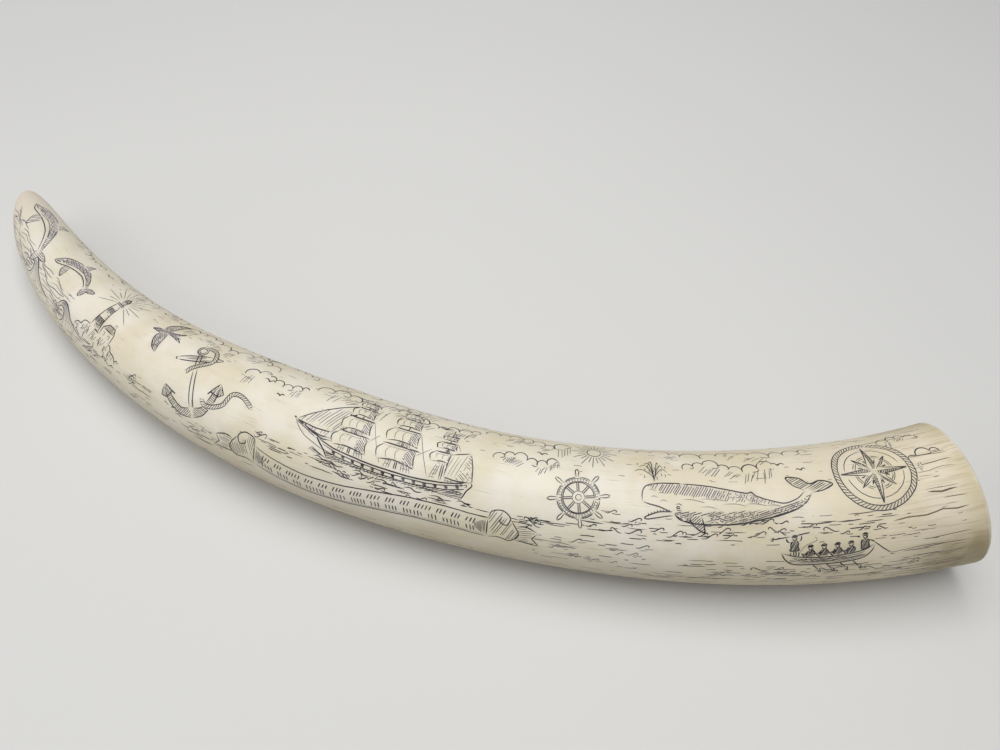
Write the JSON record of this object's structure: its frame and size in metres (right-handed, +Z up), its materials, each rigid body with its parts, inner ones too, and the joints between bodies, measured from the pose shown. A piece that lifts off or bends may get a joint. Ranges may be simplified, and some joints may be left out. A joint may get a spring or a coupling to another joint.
{
  "type": "scrimshaw tusk",
  "caption": "Curved ivory-coloured resin tusk with inked line engraving of ships and sea life, an ornament that lies on its side.",
  "frame": {"origin": "on the surface that the tusk lies on, under the middle of its bounding box", "axes": "+X along the tusk from its tip to its sawn butt, +Y towards the hollow of its curve, +Z up"},
  "size_m": [0.479, 0.1216, 0.0562],
  "materials": {
    "ivory_resin": "satin-polished cast resin in aged ivory, with charcoal-inked engraving and a brown stain at the butt"
  },
  "bodies": {
    "root": {"tusk": "ivory_resin"}
  },
  "joints": []
}
